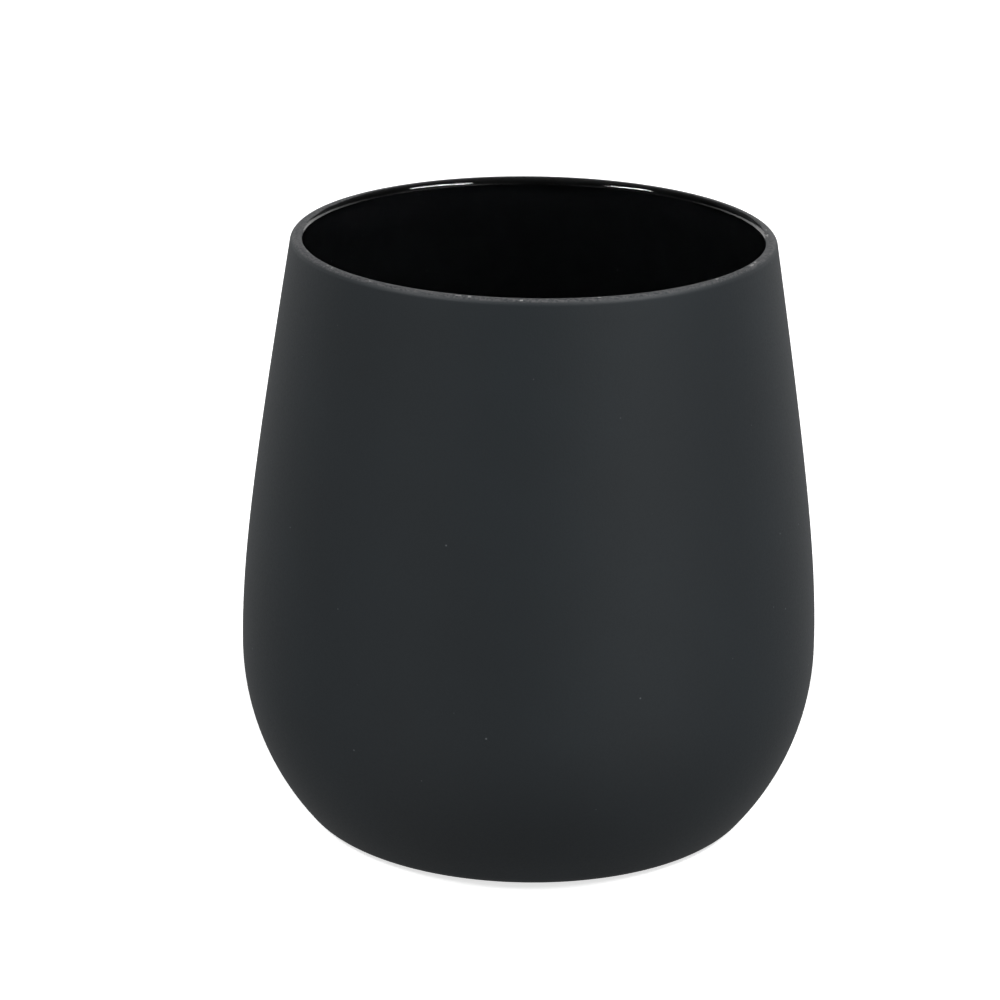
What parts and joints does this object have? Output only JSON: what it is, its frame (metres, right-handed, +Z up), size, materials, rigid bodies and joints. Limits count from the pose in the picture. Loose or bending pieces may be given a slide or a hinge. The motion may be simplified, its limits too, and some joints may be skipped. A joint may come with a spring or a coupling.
{
  "type": "empty candle jar",
  "caption": "Stemless glass candle tumbler, open at the top, with a matte black coat outside, a glossy inside and a round lip.",
  "frame": {"origin": "middle of the ring that the jar stands on, at table height", "axes": "+Z up through the middle of the mouth; the jar is round, so +X and +Y are free"},
  "size_m": [0.086, 0.086, 0.089],
  "materials": {
    "clear_glass": "clear, fire-polished",
    "matte_black_coat": "matte, fine powder grain"
  },
  "bodies": {
    "root": {"glass_jar": "clear_glass", "side_coat": "matte_black_coat", "base_coat": "matte_black_coat"}
  },
  "joints": []
}
